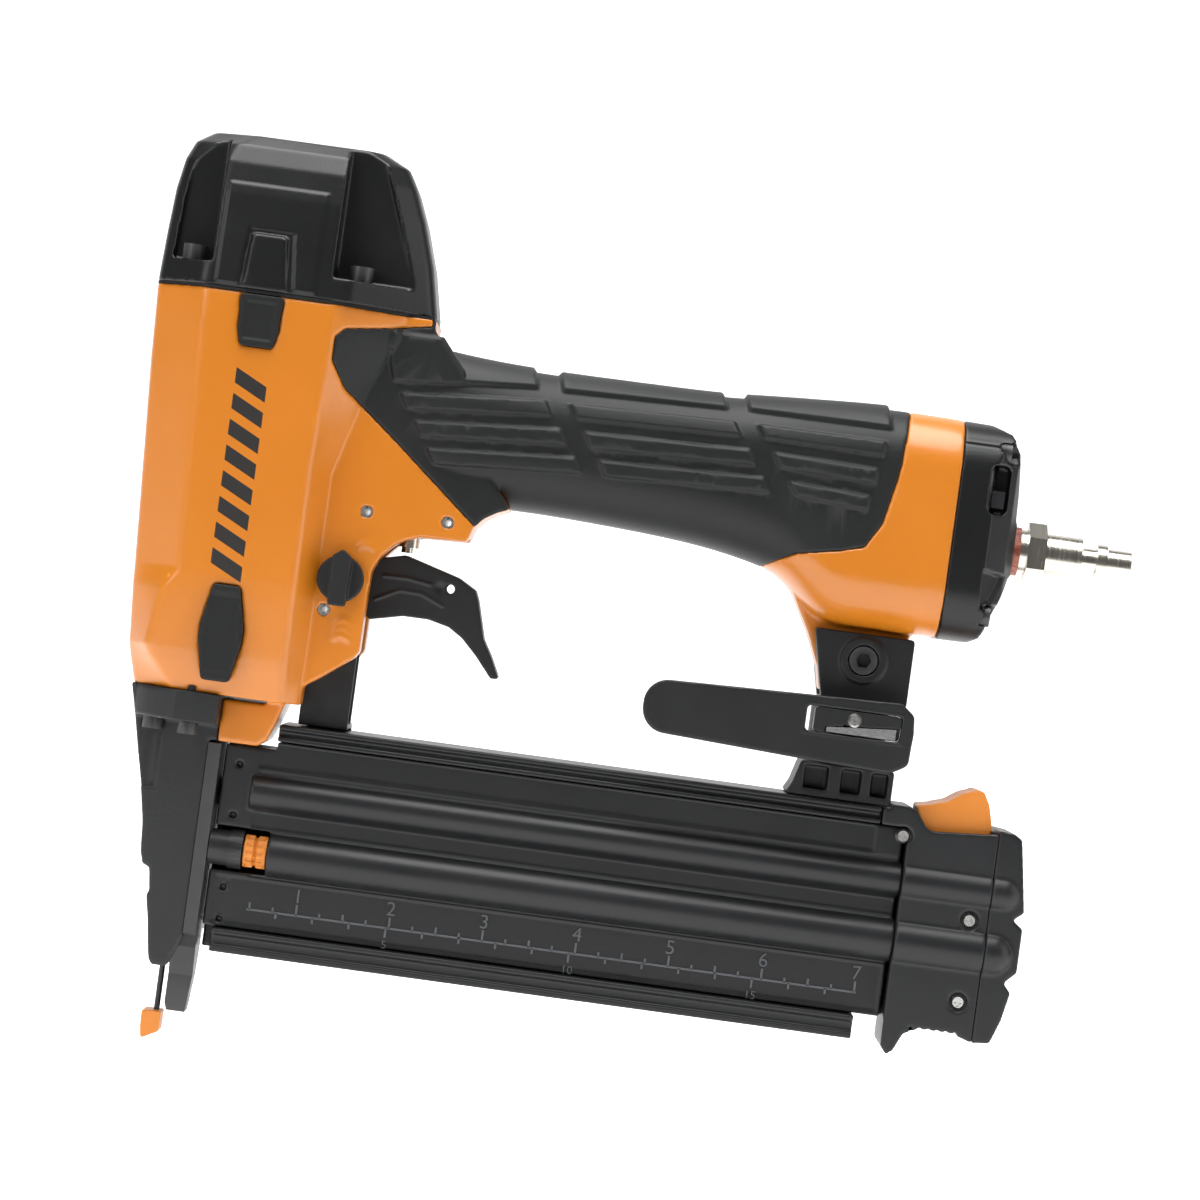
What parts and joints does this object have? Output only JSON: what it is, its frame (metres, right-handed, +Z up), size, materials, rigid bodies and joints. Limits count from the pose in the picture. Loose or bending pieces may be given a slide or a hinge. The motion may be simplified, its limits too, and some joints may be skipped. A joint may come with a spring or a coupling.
{
  "type": "pneumatic brad nailer",
  "caption": "Air-driven brad nailer: upright barrel with a black cap, rubber-covered handle, side-loading magazine with a moulded ruler, trigger, contact trip and swinging belt hook.",
  "frame": {"origin": "the nail exit at the nose tip, on the drive axis", "axes": "+Z up the drive axis towards the cap, +X back towards the air plug, -Y the side with the mode selector"},
  "size_m": [0.2712, 0.0576, 0.2457],
  "materials": {
    "orange_paint": "satin orange enamel on a light alloy casting",
    "grip_rubber": "soft matt black overmould",
    "pad_rubber": "matt black rubber",
    "cap_black": "semi-gloss black glass-filled nylon",
    "black_plastic": "satin black moulded nylon",
    "black_casting": "satin black painted casting",
    "black_steel": "black oxide steel",
    "bright_steel": "zinc plated steel",
    "nickel": "nickel plated turned steel",
    "blade_steel": "ground steel",
    "spring_steel": "drawn spring wire",
    "thread_sealant": "dried red-brown thread sealant",
    "orange_plastic": "orange moulded plastic",
    "seal_rubber": "nitrile rubber",
    "sleeve_metal": "hard anodised",
    "foam": "open cell foam",
    "magazine_black": "satin black moulded nylon",
    "rail_black": "black anodised extrusion"
  },
  "bodies": {
    "tool": {"housing": "orange_paint", "rubber_grip": "grip_rubber", "upper_side_pads": "pad_rubber", "lower_side_pads": "pad_rubber", "top_cap": "cap_black", "cap_screws": "black_steel", "cap_gasket": "seal_rubber", "head_valve_spring": "spring_steel", "cylinder_sleeve": "sleeve_metal", "cylinder_seals": "seal_rubber", "bumper": "seal_rubber", "nose_casting": "black_casting", "nose_screws": "black_steel", "driver_guide": "black_steel", "trip_spring": "spring_steel", "trigger_spring": "spring_steel", "trigger_valve_body": "nickel", "roll_pins": "bright_steel", "rear_cap": "cap_black", "rear_cap_screws": "black_steel", "exhaust_clips": "black_plastic", "silencer": "foam", "air_plug": "nickel", "thread_seal": "thread_sealant", "rear_bracket": "black_plastic", "bracket_bolt": "black_steel", "bracket_nut": "black_steel", "magazine_rail": "rail_black", "far_cover": "magazine_black"},
    "head_valve": {"head_valve": "sleeve_metal", "head_valve_seal": "seal_rubber"},
    "piston": {"piston": "sleeve_metal", "piston_seal": "seal_rubber", "driver_blade": "blade_steel"},
    "contact_trip": {"trip_wire": "black_steel", "trip_stop": "black_steel", "no_mar_pad": "orange_plastic", "trip_link": "black_steel", "trip_arm": "black_steel"},
    "depth_dial": {"depth_cam": "black_steel", "depth_dial": "orange_plastic"},
    "trigger": {"trigger": "black_plastic"},
    "valve_stem": {"valve_stem": "nickel"},
    "selector": {"selector_knob": "black_plastic", "selector_shaft": "bright_steel", "shaft_clip": "bright_steel"},
    "magazine_slide": {"magazine_cover": "magazine_black", "magazine_rear_block": "black_plastic", "magazine_screws": "bright_steel", "magazine_end_cap": "black_plastic", "latch_pin": "bright_steel", "latch_spring": "spring_steel", "pusher_spring": "spring_steel"},
    "latch": {"latch_lever": "orange_plastic"},
    "pusher": {"pusher": "blade_steel"},
    "belt_hook": {"belt_hook": "black_plastic", "sharpener_body": "black_plastic", "sharpener_blade": "blade_steel", "sharpener_screw": "bright_steel"}
  },
  "joints": [
    {"name": "head_valve_lift", "type": "slide", "parent": "tool", "child": "head_valve", "axis": [0, 0, 1], "range_m": [0, 0.003], "stiffness_N_per_m": 1500, "springref_m": -0.004, "deforming": ["head_valve_spring"]},
    {"name": "piston_stroke", "type": "slide", "parent": "tool", "child": "piston", "axis": [0, 0, -1], "range_m": [0, 0.076]},
    {"name": "trip_slide", "type": "slide", "parent": "tool", "child": "contact_trip", "axis": [0, 0, 1], "range_m": [0, 0.008], "stiffness_N_per_m": 250, "springref_m": -0.012, "deforming": ["trip_spring"]},
    {"name": "depth_dial_turn", "type": "hinge", "parent": "tool", "child": "depth_dial", "pos_m": [0, -0.0076, 0.0461], "axis": [1, 0, 0], "range_deg": [-90, 90]},
    {"name": "trigger_pull", "type": "hinge", "parent": "tool", "child": "trigger", "pos_m": [0.0296, 0, 0.1225], "axis": [0, -1, 0], "range_deg": [0, 8], "stiffness_Nm_per_rad": 0.35, "springref_deg": -14.32, "deforming": ["trigger_spring"]},
    {"name": "valve_stem_lift", "type": "slide", "parent": "tool", "child": "valve_stem", "axis": [0, 0, 1], "range_m": [0, 0.0026]},
    {"name": "selector_turn", "type": "hinge", "parent": "tool", "child": "selector", "pos_m": [0.0296, 0, 0.1225], "axis": [0, -1, 0], "range_deg": [0, 180]},
    {"name": "magazine_open", "type": "slide", "parent": "tool", "child": "magazine_slide", "axis": [1, 0, 0], "range_m": [0, 0.12]},
    {"name": "latch_press", "type": "hinge", "parent": "magazine_slide", "child": "latch", "pos_m": [0.1965, 0, 0.0734], "axis": [0, 1, 0], "range_deg": [0, 8], "stiffness_Nm_per_rad": 0.2, "springref_deg": -11.46, "deforming": ["latch_spring"]},
    {"name": "pusher_slide", "type": "slide", "parent": "magazine_slide", "child": "pusher", "axis": [1, 0, 0], "range_m": [0, 0.12], "stiffness_N_per_m": 30, "springref_m": -0.1, "deforming": ["pusher_spring"]},
    {"name": "hook_swing", "type": "hinge", "parent": "tool", "child": "belt_hook", "pos_m": [0.171, 0, 0.099], "axis": [0, 0, 1], "range_deg": [0, 180]}
  ],
  "couplings": [
    {"joint": "valve_stem_lift", "follows": "trigger_pull", "m_per_rad": 0.0159}
  ]
}
